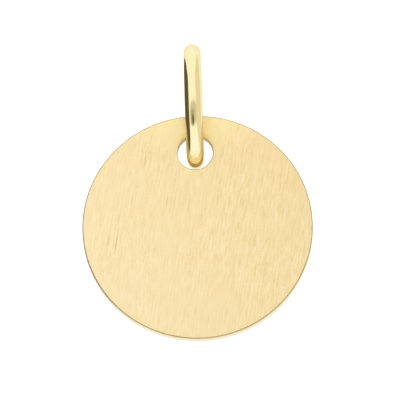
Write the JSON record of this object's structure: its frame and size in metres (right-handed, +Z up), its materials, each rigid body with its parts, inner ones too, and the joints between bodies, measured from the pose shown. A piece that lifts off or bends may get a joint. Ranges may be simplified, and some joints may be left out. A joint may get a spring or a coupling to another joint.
{
  "type": "engravable pendant",
  "caption": "Plain round pendant disc with a bare brushed face for engraving, hanging by its drilled hole from an oval bail of polished wire.",
  "frame": {"origin": "top of the bail's opening, where the chain that carries the pendant bears", "axes": "+Z up, against the way the pendant hangs; +X along the chain, to the right as seen from the front; -Y out of the engraving face, towards the viewer"},
  "size_m": [0.015, 0.0056, 0.02],
  "materials": {
    "polished_gold": "mirror polished yellow gold",
    "brushed_gold": "satin brushed yellow gold, with fine near-vertical brush lines on the faces and a polished rim"
  },
  "bodies": {
    "bail": {"bail": "polished_gold"},
    "disc": {"disc": "brushed_gold"}
  },
  "joints": [
    {"name": "disc_swing", "type": "hinge", "parent": "bail", "child": "disc", "pos_m": [0, 0, -0.00562], "axis": [0, 1, 0], "range_deg": [-75, 75]}
  ]
}
